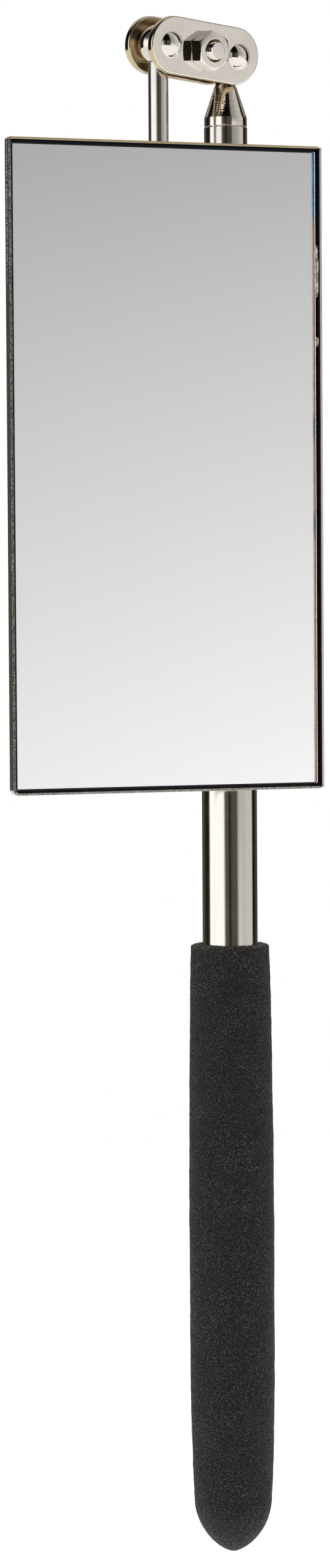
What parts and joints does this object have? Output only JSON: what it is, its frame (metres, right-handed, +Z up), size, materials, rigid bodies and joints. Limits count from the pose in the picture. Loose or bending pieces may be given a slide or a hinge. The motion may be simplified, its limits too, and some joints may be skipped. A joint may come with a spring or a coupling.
{
  "type": "telescoping inspection mirror",
  "caption": "Rectangular inspection mirror in a sheet-metal tray on a double ball joint link and a telescoping tube handle with a foam grip",
  "frame": {"origin": "butt of the grip, on the axis of the telescoping handle", "axes": "+Z runs up the handle towards the ball joint link, the mirror faces -Y, +X is to the right across the mirror"},
  "size_m": [0.053, 0.016, 0.2477],
  "materials": {
    "foam": "matt black foam with an open grain",
    "tube_steel": "bright drawn stainless",
    "stem_steel": "satin drawn rod",
    "ball_steel": "polished",
    "nickel": "polished nickel plate",
    "tray_steel": "bright sheet steel",
    "bush_brass": "turned",
    "spring_bronze": "spring strip",
    "plug_plastic": "moulded",
    "tape": "foam tape",
    "silvering": "silver coat under glass",
    "glass": "clear plate glass with a ground edge",
    "sealant": "clear sealant"
  },
  "bodies": {
    "handle": {"grip_sleeve": "foam", "handle_tube": "tube_steel", "handle_end_plug": "plug_plastic"},
    "middle_section": {"middle_tube": "tube_steel", "middle_tail_bush": "bush_brass", "middle_friction_spring": "spring_bronze"},
    "inner_section": {"inner_tube": "tube_steel", "inner_tail_bush": "bush_brass", "inner_friction_spring": "spring_bronze", "nose_stud": "nickel"},
    "neck_ball": {"lower_ball": "ball_steel"},
    "link": {"front_link_plate": "nickel", "back_link_plate": "nickel", "clamp_bolt": "nickel"},
    "nut": {"clamp_nut": "nickel"},
    "stem_ball": {"upper_ball": "ball_steel"},
    "mirror": {"mirror_stem": "stem_steel", "stem_saddle": "tray_steel", "mirror_tray": "tray_steel", "adhesive_pad": "tape", "mirror_silvering": "silvering", "mirror_glass": "glass", "glue_bead_upper": "sealant", "glue_bead_lower": "sealant"}
  },
  "joints": [
    {"name": "middle_slide", "type": "slide", "parent": "handle", "child": "middle_section", "axis": [0, 0, 1], "range_m": [0, 0.19]},
    {"name": "inner_slide", "type": "slide", "parent": "middle_section", "child": "inner_section", "axis": [0, 0, 1], "range_m": [0, 0.19]},
    {"name": "neck_twist", "type": "hinge", "parent": "inner_section", "child": "neck_ball", "pos_m": [0, 0, 0.2419], "axis": [0, 0, 1], "continuous": true},
    {"name": "link_swing", "type": "hinge", "parent": "neck_ball", "child": "link", "pos_m": [0, 0, 0.2419], "axis": [-0.2599, 0.96, 0.1042], "range_deg": [0, 180]},
    {"name": "nut_turn", "type": "hinge", "parent": "link", "child": "nut", "pos_m": [-0.00646, -0.0018, 0.2424], "axis": [0.2599, -0.96, -0.1042], "range_deg": [-20, 180]},
    {"name": "mirror_swing", "type": "hinge", "parent": "link", "child": "stem_ball", "pos_m": [-0.01292, -0.00361, 0.24291], "axis": [-0.2599, 0.96, 0.1042], "range_deg": [0, 180]},
    {"name": "mirror_twist", "type": "hinge", "parent": "stem_ball", "child": "mirror", "pos_m": [-0.01292, -0.00361, 0.24291], "axis": [0, 0, -1], "range_deg": [-2, 120]}
  ]
}
